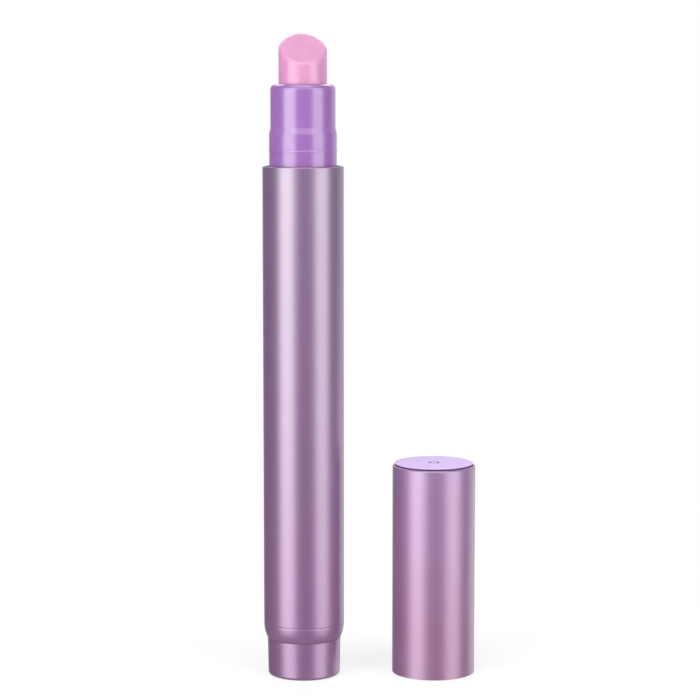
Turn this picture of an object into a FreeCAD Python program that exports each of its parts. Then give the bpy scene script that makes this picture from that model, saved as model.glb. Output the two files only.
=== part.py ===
import FreeCAD, Part
import math
import os
import re

import Sketcher

# Nail oil pen, standing on its twist knob, with its cap standing beside it.
# The origin is the centre of the knob's base, +Z runs up the pen and +X points to the cap.
# All sizes are in millimetres, and angles in degrees.

SIZES = {
    # Barrel: an aluminium tube whose foot is rolled inwards
    "barrel_diameter": 12.5,
    "barrel_wall": 0.35,
    "barrel_length": 73.5,
    "barrel_rim_round": 0.15,
    "shoulder_height": 2.25,
    "shoulder_inset": 0.53,
    "shoulder_line_width": 0.3,
    "shoulder_line_depth": 0.04,
    "lip_round": 0.06,
    # Fits
    "press_gap": 0.03,
    "running_gap": 0.06,
    "end_play": 0.2,
    # Knob
    "knob_height": 5.85,
    "knob_wall": 0.4,
    "knob_inset": 0.03,
    "knob_taper": 0.11,
    "knob_edge_round": 0.45,
    "knob_foot_ring": 1.6,
    "knob_rim_round": 0.06,
    "knob_gap": 0.05,
    "core_floor": 1.3,
    "core_recess": 0.15,
    "core_foot_recess": 0.1,
    # Reservoir
    "reservoir_wall": 0.97,
    "reservoir_lift": 0.35,
    "ledge_height": 1.0,
    "ledge_gap": 0.4,
    # Neck
    "neck_inset": 1.05,
    "neck_step": 0.2,
    "neck_lower_height": 5.0,
    "neck_step_height": 0.9,
    "neck_upper_height": 6.6,
    "neck_wall": 1.26,
    "neck_round": 0.85,
    "neck_round_share": 0.7,
    "bead_place": 2.3,
    "bead_width": 0.2,
    "bead_rise": 0.02,
    "collar_recess": 0.2,
    "collar_thickness": 0.7,
    "plug_length": 3.8,
    "plug_wall": 1.27,
    "web_thickness": 2.5,
    # Applicator tip and the tube that feeds it
    "tip_reach": 8.35,
    "tip_seat_depth": 7.2,
    "tip_slant": 35,
    "tip_turn": 5,
    "tip_edge_round": 0.7,
    "feed_diameter": 2.0,
    "feed_bore": 1.2,
    "feed_reach": 3.5,
    "feed_drop": 2.0,
    # Rubber rings
    "seal_thickness": 0.8,
    "seal_room": 0.05,
    # Lead screw and its tail key
    "thread_depth": 0.45,
    "thread_pitch": 2.0,
    "thread_crest": 0.5,
    "thread_flank": 0.2,
    "thread_gap": 0.1,
    "thread_overrun": 1,
    "screw_lift": 0.4,
    "tail_gap": 0.15,
    "key_height": 2.0,
    "key_depth": 0.45,
    "key_width": 1.2,
    "head_height": 1.0,
    "head_step": 0.15,
    "head_lip": 0.4,
    "head_place": 2.0,
    # Nut and piston
    "nut_length": 4.5,
    "nut_gap": 0.5,
    "piston_length": 5.0,
    "piston_lift": 0.3,
    "piston_chamfer": 0.3,
    "piston_end_gap": 0.5,
    "seal_inset": 1.3,
    # Driver tube, its bush and the ratchet
    "driver_wall": 0.4,
    "rod_gap": 0.15,
    "hub_step": 0.25,
    "driver_flange": 1.5,
    "flange_overlap": 0.2,
    "bush_flange": 1.0,
    "bush_length": 3.4,
    "bush_boss_wall": 1.3,
    "rib_rise": 0.25,
    "rib_width": 1.0,
    "hub_rib_height": 3.0,
    "ratchet_length": 2.5,
    "ratchet_wall": 0.49,
    "tooth_count": 12,
    "tooth_depth": 0.4,
    "tooth_land": 2,
    "pawl_count": 3,
    "pawl_ring_wall": 0.55,
    "pawl_length": 2.4,
    "pawl_thickness": 0.4,
    "pawl_room": 0.5,
    "pawl_tip_gap": 0.24,
    "pawl_rest_angle": 2,
    # Cap
    "cap_fit": 0.06,
    "cap_liner_wall": 0.84,
    "cap_wall": 0.32,
    "cap_height": 33.2,
    "cap_spacing": 20.3,
    "cap_stand_back": 1.3,
    "cap_top_thickness": 1.2,
    "cap_edge_round": 0.26,
    "disc_rise": 0.35,
    "disc_edge_chamfer": 0.05,
    "disc_edge": 0.12,
    "shadow_groove_depth": 0.42,
    "shadow_groove_slope": 0.2,
    "shadow_groove_foot": 0.7,
    "gate_diameter": 1.76,
    "gate_groove_width": 0.3,
    "gate_groove_depth": 0.4,
    "cap_seal_thickness": 1.0,
    "cap_seal_room": 0.25,
    "cap_seal_ledge": 0.4,
    "tip_room": 0.85,
    "cap_ledge": 0.3,
}

# Radii and heights that follow from the sizes above
PLACES = {
    # Barrel and knob
    "barrel_radius": "barrel_diameter / 2",
    "barrel_inner": "barrel_radius - barrel_wall",
    "barrel_foot": "knob_height + knob_gap",
    "barrel_top": "barrel_foot + barrel_length",
    "lip_radius": "barrel_radius - shoulder_inset",
    "shoulder_top": "barrel_foot + shoulder_height",
    "shoulder_line_middle": "shoulder_top + shoulder_line_width / 2",
    "shoulder_line_top": "shoulder_top + shoulder_line_width",
    "shoulder_arc": "(shoulder_height ^ 2 + shoulder_inset ^ 2) / (2 * shoulder_inset)",
    "shoulder_centre": "barrel_radius - shoulder_arc",
    "shoulder_inner_arc": "shoulder_arc - barrel_wall",
    "lip_inner": "shoulder_centre + sqrt(shoulder_inner_arc ^ 2 - shoulder_height ^ 2)",
    "knob_top_radius": "lip_radius - knob_inset",
    "knob_foot_radius": "knob_top_radius - knob_taper",
    "knob_hole": "knob_foot_radius - knob_foot_ring",
    "core_top": "knob_height - core_recess",
    "core_plug_radius": "knob_hole - press_gap",
    "core_top_radius": "knob_top_radius - knob_wall - press_gap",
    "core_foot_radius": "knob_foot_radius - knob_wall - press_gap",
    "hub_foot": "knob_wall + core_floor",
    # Reservoir and neck
    "reservoir_radius": "barrel_inner - press_gap",
    "bore_radius": "reservoir_radius - reservoir_wall",
    "insert_radius": "bore_radius - press_gap",
    "reservoir_foot": "shoulder_top + reservoir_lift",
    "collar_top": "barrel_top - collar_recess",
    "reservoir_top": "collar_top - collar_thickness",
    "plug_foot": "reservoir_top - plug_length",
    "cavity_radius": "insert_radius - plug_wall",
    "neck_radius": "barrel_radius - neck_inset",
    "neck_upper_radius": "neck_radius - neck_step",
    "neck_step_foot": "barrel_top + neck_lower_height",
    "neck_step_top": "neck_step_foot + neck_step_height",
    "neck_top": "neck_step_top + neck_upper_height",
    "bead_foot": "barrel_top + bead_place",
    "bead_middle": "bead_foot + bead_width / 2",
    "bead_top": "bead_foot + bead_width",
    "bead_radius": "neck_radius + bead_rise",
    "socket_radius": "neck_upper_radius - neck_wall",
    "tip_radius": "socket_radius - press_gap",
    "socket_floor": "neck_top - tip_seat_depth",
    "cavity_top": "socket_floor - web_thickness",
    "neck_top_round": "min(neck_round; neck_round_share * (neck_upper_radius - socket_radius))",
    "tip_top": "neck_top + tip_reach",
    "feed_radius": "feed_diameter / 2",
    "feed_hole": "feed_radius + press_gap",
    "feed_foot": "cavity_top - feed_drop",
    "feed_top": "socket_floor + feed_reach",
    # Rubber rings in their grooves
    "seal_section": "seal_thickness / 2",
    "seal_ring_radius": "bore_radius - press_gap - seal_section",
    "groove_radius": "seal_ring_radius - seal_section - press_gap",
    "groove_half": "seal_section + seal_room",
    "neck_seal_place": "plug_foot + plug_length / 2",
    # Radii of the drive, from the reservoir's bore in to the screw
    "tooth_valley": "insert_radius - ratchet_wall",
    "tooth_crest": "tooth_valley - tooth_depth",
    "flange_radius": "tooth_valley + flange_overlap",
    "pawl_ring_radius": "tooth_crest - pawl_room",
    "pawl_ring_bore": "pawl_ring_radius - pawl_ring_wall",
    "driver_radius": "pawl_ring_bore - press_gap",
    "hub_radius": "driver_radius + hub_step",
    "rib_radius": "driver_radius + rib_rise",
    "keyway_radius": "driver_radius - driver_wall",
    "driver_bore": "keyway_radius - key_depth",
    "screw_radius": "driver_bore - rod_gap",
    "screw_root": "screw_radius - thread_depth",
    "tail_square": "sqrt(2) * screw_root - tail_gap",
    "head_neck": "screw_root - head_step",
    "head_radius": "head_neck + head_lip",
    # Heights along the drive, from the knob up
    "screw_foot": "hub_foot + screw_lift",
    "key_top": "screw_foot + key_height",
    "bush_top": "reservoir_foot + bush_length",
    "bush_flange_foot": "reservoir_foot - bush_flange",
    "bush_foot": "barrel_foot + end_play",
    "bush_bore": "hub_radius + running_gap",
    "bush_boss_radius": "bush_bore + bush_boss_wall",
    "bush_flange_drop": "shoulder_top - bush_flange_foot",
    "bush_arc_radius": "shoulder_centre + sqrt(shoulder_inner_arc ^ 2 - bush_flange_drop ^ 2)",
    "bush_flange_radius": "bush_arc_radius - running_gap",
    "flange_foot": "bush_top + end_play",
    "flange_top": "flange_foot + driver_flange",
    "ratchet_foot": "flange_top + end_play",
    "ratchet_top": "ratchet_foot + ratchet_length",
    "drive_stack": "key_top + nut_gap - end_play + nut_length + piston_lift + piston_length",
    "stroke": "(plug_foot - piston_end_gap - drive_stack) / 2",
    "driver_top": "key_top + stroke - end_play",
    "nut_foot": "driver_top + nut_gap",
    "nut_top": "nut_foot + nut_length",
    "ledge_foot": "nut_foot - ledge_height",
    "ledge_radius": "driver_radius + ledge_gap",
    "piston_foot": "nut_top + piston_lift",
    "piston_top": "piston_foot + piston_length",
    "piston_radius": "bore_radius - running_gap",
    "lower_seal_place": "piston_foot + seal_inset",
    "upper_seal_place": "piston_top - seal_inset",
    "head_foot": "piston_foot + head_place",
    "head_top": "head_foot + head_height",
    # Thread: the tooth's section on the rod, and the same section with room in the nut
    "tooth_half_crest": "thread_crest / 2",
    "tooth_half_root": "tooth_half_crest + thread_flank",
    "thread_foot": "key_top + end_play + tooth_half_root",
    "thread_top": "nut_top - tooth_half_root",
    "thread_bury": "screw_root - thread_gap",
    "nut_bore": "screw_root + thread_gap",
    "nut_groove_radius": "screw_radius + thread_gap",
    "nut_thread_turn": "floor((nut_foot - thread_foot) / thread_pitch) - thread_overrun",
    "nut_thread_foot": "thread_foot + nut_thread_turn * thread_pitch",
    "nut_thread_height": "nut_length + 2 * (thread_overrun + 1) * thread_pitch",
    # Pawls: straight arms that lean on the ring and point back into the teeth
    "pawl_tip_radius": "tooth_valley - pawl_tip_gap",
    "pawl_inner_side": "pawl_ring_radius - pawl_thickness",
    "pawl_arm": "sqrt(pawl_tip_radius ^ 2 - pawl_ring_radius ^ 2)",
    "pawl_top": "flange_top + pawl_length",
    "tooth_angle": "360 / tooth_count - tooth_land",
    "tooth_overlap": "tooth_crest - tooth_depth",
    # Cap, about its own axis
    "cap_bore": "neck_radius + cap_fit",
    "liner_radius": "cap_bore + cap_liner_wall",
    "cap_inner": "liner_radius + press_gap",
    "cap_radius": "cap_inner + cap_wall",
    "cap_seat": "neck_top - barrel_top",
    "cap_seal_top": "cap_seat + cap_seal_thickness",
    "cap_pocket_radius": "cap_bore - cap_seal_ledge",
    "cap_hollow": "min(tip_radius + tip_room; cap_pocket_radius - cap_ledge)",
    "cap_ceiling": "cap_height - cap_top_thickness",
    "cap_rim": "cap_height - disc_rise",
    "disc_under": "cap_height - disc_edge",
    "shadow_groove_root": "liner_radius - shadow_groove_depth",
    "shadow_groove_base": "cap_height - shadow_groove_foot",
    "cap_seal_bore": "tip_radius + cap_seal_room",
    "gate_outer": "gate_diameter / 2",
    "gate_inner": "gate_outer - gate_groove_width",
    "gate_floor": "cap_height - gate_groove_depth",
}

FULL_TURN = 360
SAME_PLACE = 1e-4

doc = FreeCAD.newDocument("NailOilPen")


def bound(formula):
    """The formula with each plain name written as the cell that holds it."""

    def cell(match):
        name = match.group(0)
        if name in SIZES:
            return "Sizes." + name
        if name in PLACES:
            return "Places." + name
        return name

    return re.sub(r"[a-z_]+", cell, formula)


def fill_sheets():
    """One sheet holds the driving sizes as plain numbers, the other what follows from them."""
    sizes = doc.addObject("Spreadsheet::Sheet", "Sizes")
    for row, (name, size) in enumerate(SIZES.items(), start=1):
        sizes.set(f"A{row}", name)
        sizes.set(f"B{row}", str(size))
        sizes.setAlias(f"B{row}", name)
    doc.recompute()
    places = doc.addObject("Spreadsheet::Sheet", "Places")
    for row, name in enumerate(PLACES, start=1):
        places.set(f"A{row}", name)
        places.setAlias(f"B{row}", name)
    for row, formula in enumerate(PLACES.values(), start=1):
        places.set(f"B{row}", "=" + bound(formula))
    doc.recompute()
    return places


places = fill_sheets()


def value(formula):
    return float(places.evalExpression(bound(formula)))


# Sketches and features that the pieces share


def new_body(label):
    body = doc.addObject("PartDesign::Body", label)
    body.Label = label
    return body


def new_sketch(body, name, plane, height="0"):
    """A sketch on one of the body's origin planes, lifted along the plane's normal."""
    sketch = body.newObject("Sketcher::SketchObject", name)
    support = next(f for f in body.Origin.OriginFeatures if f.Role == plane)
    sketch.AttachmentSupport = [(support, "")]
    sketch.MapMode = "FlatFace"
    if height != "0":
        sketch.setExpression("AttachmentOffset.Base.z", bound(height))
    return sketch


def pin_point(sketch, edge, point, across, up):
    """Ties a point to the sketch's axes, or to its distances from them."""
    for kind, axis, formula in (("DistanceX", -2, across), ("DistanceY", -1, up)):
        if formula == "0":
            sketch.addConstraint(Sketcher.Constraint("PointOnObject", edge, point, axis))
        elif value(formula) > 0:
            place = Sketcher.Constraint(kind, -1, 1, edge, point, value(formula))
            index = sketch.addConstraint(place)
            sketch.setExpression(f"Constraints[{index}]", bound(formula))
        else:
            place = Sketcher.Constraint(kind, edge, point, -1, 1, -value(formula))
            index = sketch.addConstraint(place)
            sketch.setExpression(f"Constraints[{index}]", bound(f"-({formula})"))


def arc_edge(start, end, centre):
    """The shorter arc between two points, and whether it runs from start to end.
    A sketch keeps its arcs counter-clockwise."""
    circle = Part.Circle(centre, FreeCAD.Vector(0, 0, 1), (start - centre).Length)
    from_angle = math.atan2(start.y - centre.y, start.x - centre.x)
    to_angle = math.atan2(end.y - centre.y, end.x - centre.x)
    sweep = (to_angle - from_angle) % math.tau
    if sweep < math.pi:
        return Part.ArcOfCircle(circle, from_angle, from_angle + sweep), True
    return Part.ArcOfCircle(circle, to_angle, to_angle + math.tau - sweep), False


def draw_outline(sketch, corners, arcs=()):
    """A closed outline through the corners, each given as across and up. Arcs are listed by
    the corner that they start from, with their centre."""
    arcs = dict(arcs)
    points = [FreeCAD.Vector(value(across), value(up), 0) for across, up in corners]
    ends = []
    for i, start in enumerate(points):
        end = points[(i + 1) % len(points)]
        forward = True
        if i in arcs:
            centre = FreeCAD.Vector(value(arcs[i][0]), value(arcs[i][1]), 0)
            edge, forward = arc_edge(start, end, centre)
        else:
            edge = Part.LineSegment(start, end)
        sketch.addGeometry(edge, False)
        ends.append((1, 2) if forward else (2, 1))
    for i, (first, last) in enumerate(ends):
        after = (i + 1) % len(ends)
        sketch.addConstraint(Sketcher.Constraint("Coincident", i, last, after, ends[after][0]))
        pin_point(sketch, i, first, *corners[i])
    for i, (across, up) in arcs.items():
        index = sketch.addConstraint(Sketcher.Constraint("DistanceY", -1, 1, i, 3, value(up)))
        sketch.setExpression(f"Constraints[{index}]", bound(up))


def turned(label, corners, arcs=()):
    """A body of revolution about Z. Corners are radius and height."""
    body = new_body(label)
    sketch = new_sketch(body, label + "_section", "XZ_Plane")
    draw_outline(sketch, corners, arcs)
    doc.recompute()
    turn = body.newObject("PartDesign::Revolution", label + "_turn")
    turn.Profile = sketch
    turn.ReferenceAxis = (sketch, ["V_Axis"])
    turn.Angle = FULL_TURN
    doc.recompute()
    return body


def tube(label, inner, outer, foot, top):
    return turned(label, [(inner, foot), (outer, foot), (outer, top), (inner, top)])


def extruded(body, name, corners, foot, height, kind, copies="1"):
    """A pad or a pocket that rises from the foot, repeated around Z."""
    before = body.Shape.Volume
    sketch = new_sketch(body, name + "_section", "XY_Plane", foot)
    draw_outline(sketch, corners)
    doc.recompute()
    feature = body.newObject("PartDesign::" + kind, name)
    feature.Profile = sketch
    feature.setExpression("Length", bound(height))
    feature.Reversed = kind == "Pocket"
    doc.recompute()
    if copies != "1":
        ring = body.newObject("PartDesign::PolarPattern", name + "_ring")
        ring.Originals = [feature]
        ring.Axis = (sketch, ["N_Axis"])
        ring.Angle = FULL_TURN
        ring.setExpression("Occurrences", bound(copies))
        body.Tip = ring
        doc.recompute()
    change = body.Shape.Volume - before
    if (change <= 0) if kind == "Pad" else (change >= 0):
        raise RuntimeError(f"{name} changes the volume by {change}")


def rounded(body, name, edges, radius):
    """Rounds the edges of the body's last feature that the test picks."""
    base = body.Tip
    names = [f"Edge{i}" for i, edge in enumerate(base.Shape.Edges, start=1) if edges(edge)]
    if not names:
        raise RuntimeError(f"{name} finds no edge")
    fillet = body.newObject("PartDesign::Fillet", name)
    fillet.Base = (base, names)
    fillet.setExpression("Radius", bound(radius))
    doc.recompute()


def rim(radius, height):
    """A test for the circular edge of that radius at that height."""

    def at_rim(edge):
        if not isinstance(edge.Curve, Part.Circle):
            return False
        across = abs(edge.Curve.Radius - value(radius))
        up = abs(edge.Curve.Center.z - value(height))
        return max(across, up) < SAME_PLACE

    return at_rim


def threaded(body, name, corners, height, kind):
    """A right-hand thread about Z, whose section stands on the outline's own height."""
    sketch = new_sketch(body, name + "_section", "XZ_Plane")
    draw_outline(sketch, corners)
    doc.recompute()
    thread = body.newObject("PartDesign::" + kind, name)
    thread.Profile = sketch
    thread.ReferenceAxis = (sketch, ["V_Axis"])
    thread.Mode = "pitch-height-angle"
    thread.setExpression("Pitch", bound("thread_pitch"))
    thread.setExpression("Height", bound(height))
    doc.recompute()


def rubber_ring(name, height):
    ring = doc.addObject("Part::Torus", name)
    ring.setExpression("Radius1", bound("seal_ring_radius"))
    ring.setExpression("Radius2", bound("seal_section"))
    ring.setExpression("Placement.Base.z", bound(height))
    return ring


def groove(height, outer):
    """Corners of a rubber ring's groove, from its lower edge up to its upper one."""
    lower = f"{height} - groove_half"
    upper = f"{height} + groove_half"
    return [(outer, lower), ("groove_radius", lower), ("groove_radius", upper), (outer, upper)]


def rib_section(inner, outer, width):
    half = f"({width}) / 2"
    return [(inner, f"-{half}"), (outer, f"-{half}"), (outer, half), (inner, half)]


# Barrel and what is fixed in it


def make_barrel_sleeve():
    """A fine line is rolled in where the shoulder starts."""
    corners = [
        ("lip_inner", "barrel_foot"),
        ("barrel_inner", "shoulder_top"),
        ("barrel_inner", "barrel_top"),
        ("barrel_radius", "barrel_top"),
        ("barrel_radius", "shoulder_line_top"),
        ("barrel_radius - shoulder_line_depth", "shoulder_line_middle"),
        ("barrel_radius", "shoulder_top"),
        ("lip_radius", "barrel_foot"),
    ]
    centre = ("shoulder_centre", "shoulder_top")
    body = turned("barrel_sleeve", corners, {0: centre, 6: centre})
    rounded(body, "barrel_rim", rim("barrel_radius", "barrel_top"), "barrel_rim_round")
    rounded(body, "barrel_lip", rim("lip_radius", "barrel_foot"), "lip_round")
    return body


def make_reservoir():
    return turned(
        "reservoir",
        [
            ("bore_radius", "reservoir_foot"),
            ("reservoir_radius", "reservoir_foot"),
            ("reservoir_radius", "reservoir_top"),
            ("bore_radius", "reservoir_top"),
            ("bore_radius", "nut_foot"),
            ("ledge_radius", "nut_foot"),
            ("ledge_radius", "ledge_foot"),
            ("bore_radius", "ledge_foot"),
        ],
    )


def make_tail_bush():
    """The flange is held between the barrel's rolled shoulder and the reservoir's foot."""
    return turned(
        "tail_bush",
        [
            ("bush_bore", "bush_foot"),
            ("bush_boss_radius", "bush_foot"),
            ("bush_boss_radius", "bush_flange_foot"),
            ("bush_flange_radius", "bush_flange_foot"),
            ("bush_flange_radius", "reservoir_foot"),
            ("insert_radius", "reservoir_foot"),
            ("insert_radius", "bush_top"),
            ("bush_bore", "bush_top"),
        ],
    )


def make_ratchet_ring():
    """Saw teeth whose steep sides stop the pawls from turning back."""
    body = tube("ratchet_ring", "tooth_crest", "insert_radius", "ratchet_foot", "ratchet_top")
    gap = [
        ("0", "tooth_overlap"),
        ("0", "tooth_valley"),
        ("-tooth_crest * sin(tooth_angle)", "tooth_crest * cos(tooth_angle)"),
        ("-tooth_overlap * sin(tooth_angle)", "tooth_overlap * cos(tooth_angle)"),
    ]
    extruded(body, "tooth_gap", gap, "ratchet_foot", "ratchet_length", "Pocket", "tooth_count")
    turn = "-(atan(pawl_arm / pawl_inner_side) + pawl_rest_angle * 1 deg)"
    body.setExpression("Placement.Rotation.Angle", bound(turn))
    return body


def make_drive_nut():
    body = tube("drive_nut", "nut_bore", "insert_radius", "nut_foot", "nut_top")
    section = [
        ("thread_bury", "nut_thread_foot - tooth_half_root - thread_gap"),
        ("nut_groove_radius", "nut_thread_foot - tooth_half_crest - thread_gap"),
        ("nut_groove_radius", "nut_thread_foot + tooth_half_crest + thread_gap"),
        ("thread_bury", "nut_thread_foot + tooth_half_root + thread_gap"),
    ]
    threaded(body, "nut_thread", section, "nut_thread_height", "SubtractiveHelix")
    return body


def make_neck():
    plug = [("cavity_radius", "plug_foot"), ("insert_radius", "plug_foot")]
    plug += groove("neck_seal_place", "insert_radius")
    outside = [
        ("insert_radius", "reservoir_top"),
        ("reservoir_radius", "reservoir_top"),
        ("reservoir_radius", "collar_top"),
        ("neck_radius", "collar_top"),
        ("neck_radius", "bead_foot"),
        ("bead_radius", "bead_middle"),
        ("neck_radius", "bead_top"),
        ("neck_radius", "neck_step_foot"),
        ("neck_upper_radius", "neck_step_top"),
        ("neck_upper_radius", "neck_top"),
    ]
    inside = [
        ("socket_radius", "neck_top"),
        ("socket_radius", "socket_floor"),
        ("feed_hole", "socket_floor"),
        ("feed_hole", "cavity_top"),
        ("cavity_radius", "cavity_top"),
    ]
    body = turned("neck", plug + outside + inside)
    rounded(body, "neck_shoulder", rim("neck_upper_radius", "neck_top"), "neck_top_round")
    return body


def make_applicator_tip():
    """A plug with a slanted face, low towards -Y and turned a little about the pen's axis."""
    body = turned(
        "applicator_tip",
        [
            ("feed_hole", "socket_floor"),
            ("tip_radius", "socket_floor"),
            ("tip_radius", "tip_top"),
            ("0", "tip_top"),
            ("0", "feed_top + press_gap"),
            ("feed_hole", "feed_top + press_gap"),
        ],
    )
    before = body.Shape.Volume
    sketch = new_sketch(body, "tip_slant_section", "YZ_Plane")
    low = "tip_top - 2 * tip_radius * tan(tip_slant)"
    draw_outline(sketch, [("-tip_radius", low), ("tip_radius", "tip_top"), ("-tip_radius", "tip_top")])
    doc.recompute()
    slant = body.newObject("PartDesign::Pocket", "tip_slant")
    slant.Profile = sketch
    slant.Type = "ThroughAll"
    slant.Midplane = True
    doc.recompute()
    if body.Shape.Volume >= before:
        raise RuntimeError("the tip's slant cuts nothing")
    rounded(body, "tip_edge", lambda edge: isinstance(edge.Curve, Part.Ellipse), "tip_edge_round")
    body.setExpression("Placement.Rotation.Angle", bound("tip_turn"))
    return body


def make_feed_tube():
    return tube("feed_tube", "feed_bore / 2", "feed_radius", "feed_foot", "feed_top")


# Knob and what turns with it


def make_knob_shell():
    """A tube whose foot is turned in to a flat ring, which the pen stands on."""
    body = turned(
        "knob_shell",
        [
            ("knob_hole", "0"),
            ("knob_foot_radius", "0"),
            ("knob_top_radius", "knob_height"),
            ("knob_top_radius - knob_wall", "knob_height"),
            ("knob_foot_radius - knob_wall", "knob_wall"),
            ("knob_hole", "knob_wall"),
        ],
    )
    rounded(body, "knob_edge", rim("knob_foot_radius", "0"), "knob_edge_round")
    rounded(body, "knob_rim", rim("knob_top_radius", "knob_height"), "knob_rim_round")
    return body


def make_knob_core():
    """Its plug closes the shell's foot, a little above the floor."""
    body = turned(
        "knob_core",
        [
            ("0", "core_foot_recess"),
            ("core_plug_radius", "core_foot_recess"),
            ("core_plug_radius", "knob_wall"),
            ("core_foot_radius", "knob_wall"),
            ("core_top_radius", "core_top"),
            ("hub_radius + press_gap", "core_top"),
            ("hub_radius + press_gap", "hub_foot"),
            ("0", "hub_foot"),
        ],
    )
    slot = rib_section("driver_radius", "hub_radius + rib_rise + press_gap", "rib_width + 2 * press_gap")
    extruded(body, "hub_slot", slot, "hub_foot", "hub_rib_height", "Pocket", "2")
    return body


def make_driver_tube():
    """Keyways run the whole length inside. Ribs outside turn with the knob and the pawl ring."""
    body = turned(
        "driver_tube",
        [
            ("driver_bore", "hub_foot"),
            ("hub_radius", "hub_foot"),
            ("hub_radius", "flange_foot"),
            ("flange_radius", "flange_foot"),
            ("flange_radius", "flange_top"),
            ("driver_radius", "flange_top"),
            ("driver_radius", "driver_top"),
            ("driver_bore", "driver_top"),
        ],
    )
    keyway = rib_section("-keyway_radius", "keyway_radius", "key_width")
    extruded(body, "keyway", keyway, "hub_foot", "driver_top - hub_foot", "Pocket")
    hub_rib = rib_section("driver_radius", "hub_radius + rib_rise", "rib_width")
    extruded(body, "hub_rib", hub_rib, "hub_foot", "hub_rib_height", "Pad", "2")
    pawl_rib = rib_section("keyway_radius + press_gap", "rib_radius", "rib_width")
    extruded(body, "pawl_rib", pawl_rib, "flange_top", "pawl_length", "Pad", "2")
    return body


def make_pawl_ring():
    body = tube("pawl_ring", "pawl_ring_bore", "pawl_ring_radius", "flange_top", "pawl_top")
    arm = [
        ("0", "pawl_inner_side"),
        ("pawl_arm", "pawl_inner_side"),
        ("pawl_arm", "pawl_ring_radius"),
        ("0", "pawl_ring_radius"),
    ]
    extruded(body, "pawl_arm", arm, "ratchet_foot", "pawl_top - ratchet_foot", "Pad", "pawl_count")
    slot = rib_section("keyway_radius", "rib_radius + press_gap", "rib_width + 2 * press_gap")
    extruded(body, "pawl_slot", slot, "flange_top", "pawl_length", "Pocket", "2")
    return body


# Screw, piston and their small pieces


def make_lead_screw():
    body = turned(
        "lead_screw",
        [
            ("0", "key_top"),
            ("screw_root", "key_top"),
            ("screw_root", "nut_top"),
            ("head_neck", "nut_top"),
            ("head_neck", "head_foot"),
            ("head_radius", "head_foot"),
            ("head_radius", "head_top"),
            ("0", "head_top"),
        ],
    )
    half = "tail_square / 2"
    tail = rib_section(f"-{half}", half, "tail_square")
    extruded(body, "rod_tail", tail, "screw_foot", "key_height", "Pad")
    section = [
        ("thread_bury", "thread_foot - tooth_half_root"),
        ("screw_radius", "thread_foot - tooth_half_crest"),
        ("screw_radius", "thread_foot + tooth_half_crest"),
        ("thread_bury", "thread_foot + tooth_half_root"),
    ]
    threaded(body, "rod_thread", section, "thread_top - thread_foot", "AdditiveHelix")
    return body


def make_rod_key():
    """A collar on the rod's square tail, with two lugs that slide in the driver's keyways."""
    collar_radius = "driver_bore - running_gap"
    body = tube("rod_key", "0", collar_radius, "screw_foot", "key_top")
    lug_radius = "(keyway_radius - running_gap)"
    lug = rib_section(f"-{lug_radius}", lug_radius, "key_width - 2 * running_gap")
    extruded(body, "key_lug", lug, "screw_foot", "key_height", "Pad")
    half = "(tail_square / 2 + press_gap)"
    hole = rib_section(f"-{half}", half, "tail_square + 2 * press_gap")
    extruded(body, "key_hole", hole, "screw_foot", "key_height", "Pocket")
    return body


def make_piston():
    """The rod's round head turns in the socket under the piston."""
    socket_neck = "head_neck + running_gap"
    socket_head = "head_radius + running_gap"
    outside = [(socket_neck, "piston_foot"), ("piston_radius", "piston_foot")]
    outside += groove("lower_seal_place", "piston_radius")
    outside += groove("upper_seal_place", "piston_radius")
    top = [
        ("piston_radius", "piston_top - piston_chamfer"),
        ("piston_radius - piston_chamfer", "piston_top"),
        ("0", "piston_top"),
    ]
    socket = [
        ("0", "head_top + running_gap"),
        (socket_head, "head_top + running_gap"),
        (socket_head, "head_foot - running_gap"),
        (socket_neck, "head_foot - running_gap"),
    ]
    return turned("piston", outside + top + socket)


def make_piston_seals():
    rings = doc.addObject("Part::Compound", "piston_seals")
    lower = rubber_ring("lower_piston_seal", "lower_seal_place")
    upper = rubber_ring("upper_piston_seal", "upper_seal_place")
    rings.Links = [lower, upper]
    return rings


# Cap, made about its own axis and then stood beside the pen


def stand_beside(body):
    body.setExpression("Placement.Base.x", bound("cap_spacing"))
    body.setExpression("Placement.Base.y", bound("cap_stand_back"))
    return body


def make_cap_sleeve():
    body = tube("cap_sleeve", "cap_inner", "cap_radius", "0", "cap_rim")
    rounded(body, "cap_edge", rim("cap_radius", "cap_rim"), "cap_edge_round")
    return stand_beside(body)


def make_cap_liner():
    """Its top disc stands a little above the sleeve's rim, over a groove that shows as a dark line."""
    body = turned(
        "cap_liner",
        [
            ("cap_bore", "0"),
            ("liner_radius", "0"),
            ("liner_radius", "shadow_groove_base"),
            ("shadow_groove_root", "shadow_groove_base"),
            ("shadow_groove_root", "disc_under - shadow_groove_slope"),
            ("liner_radius", "disc_under"),
            ("liner_radius", "cap_height - disc_edge_chamfer"),
            ("liner_radius - disc_edge_chamfer", "cap_height"),
            ("gate_outer", "cap_height"),
            ("gate_outer", "gate_floor"),
            ("gate_inner", "gate_floor"),
            ("gate_inner", "cap_height"),
            ("0", "cap_height"),
            ("0", "cap_ceiling"),
            ("cap_hollow", "cap_ceiling"),
            ("cap_hollow", "cap_seal_top"),
            ("cap_pocket_radius", "cap_seal_top"),
            ("cap_pocket_radius", "cap_seat"),
            ("cap_bore", "cap_seat"),
        ],
    )
    return stand_beside(body)


def make_cap_seal():
    """A soft ring, snapped into a pocket of the liner, that closes on the neck's top."""
    outer = "cap_pocket_radius - press_gap"
    return stand_beside(tube("cap_seal", "cap_seal_bore", outer, "cap_seat", "cap_seal_top"))


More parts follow.
